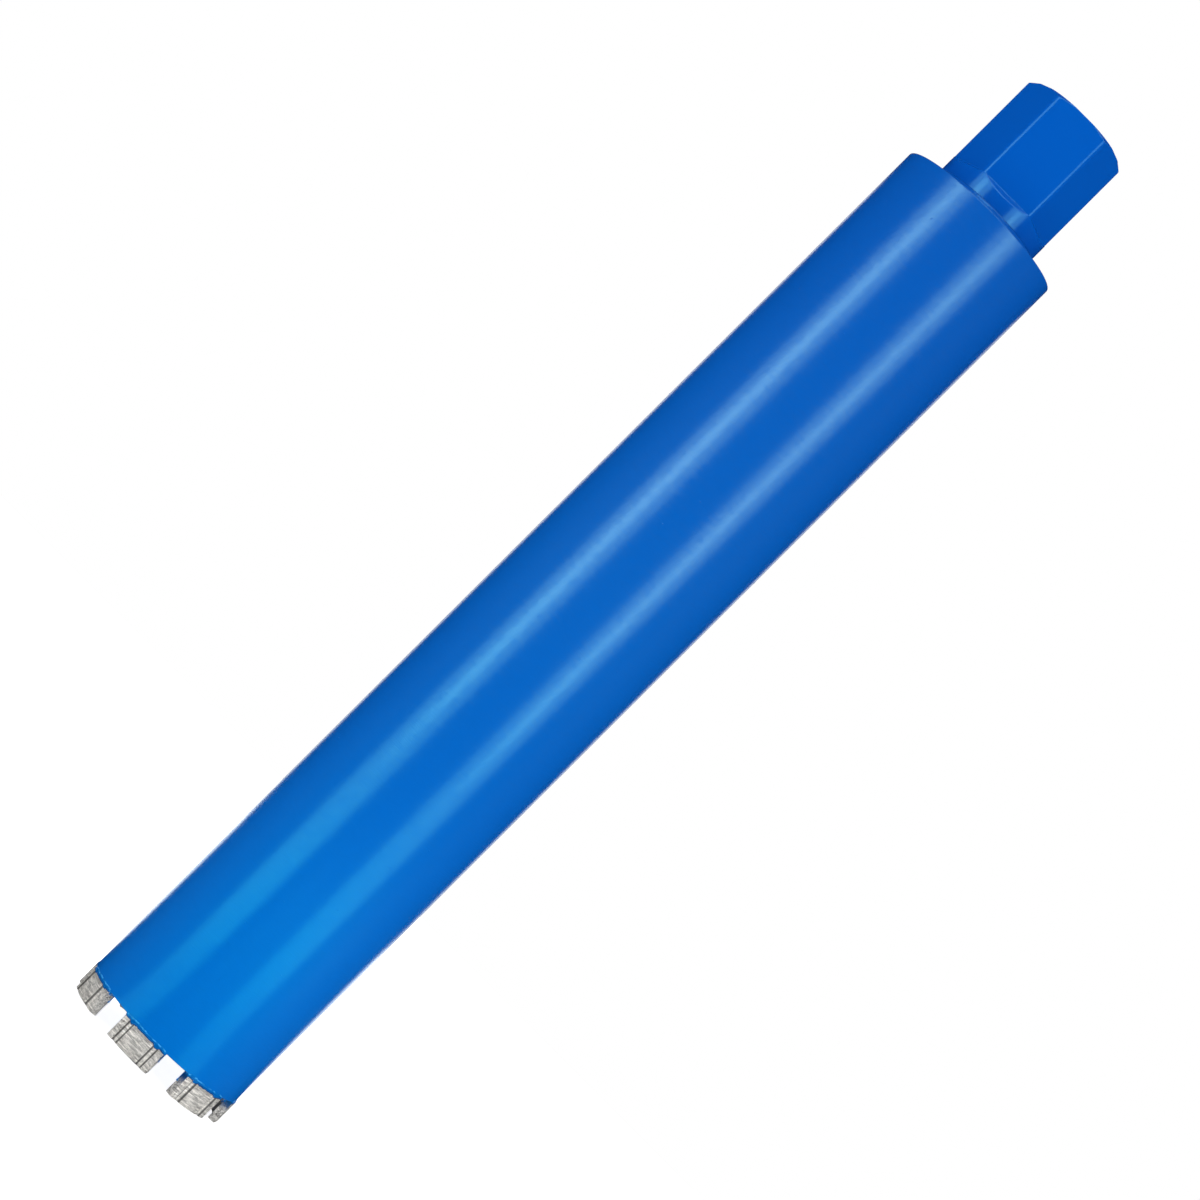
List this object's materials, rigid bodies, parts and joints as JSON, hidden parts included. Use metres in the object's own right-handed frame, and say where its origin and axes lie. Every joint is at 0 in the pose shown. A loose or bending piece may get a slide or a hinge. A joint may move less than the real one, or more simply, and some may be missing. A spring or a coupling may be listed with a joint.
{
  "type": "diamond core bit",
  "caption": "Long wet diamond core bit: a blue painted steel tube with a slotted crown of brazed cutting segments and a hexagonal hub with a female spindle thread.",
  "frame": {"origin": "on the bit's axis, in the plane of the segment tips that it stands on", "axes": "+Z along the axis, from the crown to the hub; -Y is square to one flat of the hexagonal hub"},
  "size_m": [0.0719, 0.072, 0.4802],
  "materials": {
    "barrel_paint": "satin blue spray paint on drawn steel tube",
    "hub_paint": "satin blue spray paint on machined steel",
    "sintered_segment": "sintered diamond metal matrix, dressed on a coarse wheel",
    "painted_braze": "braze fillet under blue overspray"
  },
  "bodies": {
    "root": {"barrel": "barrel_paint", "end_plate": "barrel_paint", "plate_weld": "barrel_paint", "hub": "hub_paint", "hub_weld": "hub_paint", "segment_1": "sintered_segment", "segment_2": "sintered_segment", "segment_3": "sintered_segment", "segment_4": "sintered_segment", "segment_5": "sintered_segment", "segment_6": "sintered_segment", "segment_7": "sintered_segment", "braze_1": "painted_braze", "braze_2": "painted_braze", "braze_3": "painted_braze", "braze_4": "painted_braze", "braze_5": "painted_braze", "braze_6": "painted_braze", "braze_7": "painted_braze"}
  },
  "joints": []
}
